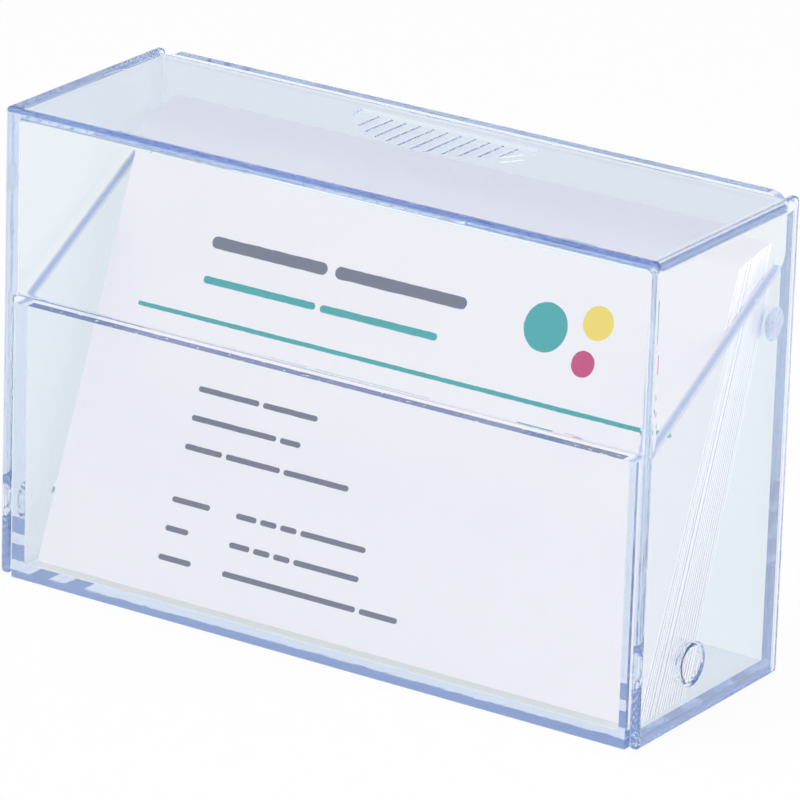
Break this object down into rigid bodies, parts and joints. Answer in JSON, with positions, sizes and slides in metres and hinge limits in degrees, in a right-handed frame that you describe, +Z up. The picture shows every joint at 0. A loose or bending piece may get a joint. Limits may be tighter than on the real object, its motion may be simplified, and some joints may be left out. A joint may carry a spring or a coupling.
{
  "type": "business card box",
  "caption": "Clear plastic box for business cards: an open-fronted tray with a sloped rim, a lid that turns forward on two low side pivots, and a fanned stack of cards.",
  "frame": {"origin": "middle of the base, on the plane that the box stands on", "axes": "+X to the right seen from the front, +Y to the back, +Z up; the front wall faces -Y"},
  "size_m": [0.093, 0.0316, 0.0605],
  "materials": {
    "clear_plastic": "polished clear moulding with a faint blue tint along its edges",
    "card_stock": "smooth matt white card"
  },
  "bodies": {
    "tray_body": {"tray": "clear_plastic", "card_01": "card_stock", "card_02": "card_stock", "card_03": "card_stock", "card_04": "card_stock", "card_05": "card_stock", "card_06": "card_stock", "card_07": "card_stock", "card_08": "card_stock", "card_09": "card_stock", "card_10": "card_stock", "card_11": "card_stock", "card_12": "card_stock", "card_13": "card_stock", "card_14": "card_stock", "card_15": "card_stock", "card_16": "card_stock", "card_17": "card_stock", "card_18": "card_stock"},
    "lid_body": {"lid": "clear_plastic"}
  },
  "joints": [
    {"name": "lid_hinge", "type": "hinge", "parent": "tray_body", "child": "lid_body", "pos_m": [0, -0.00415, 0.00755], "axis": [1, 0, 0], "range_deg": [0, 85]}
  ]
}
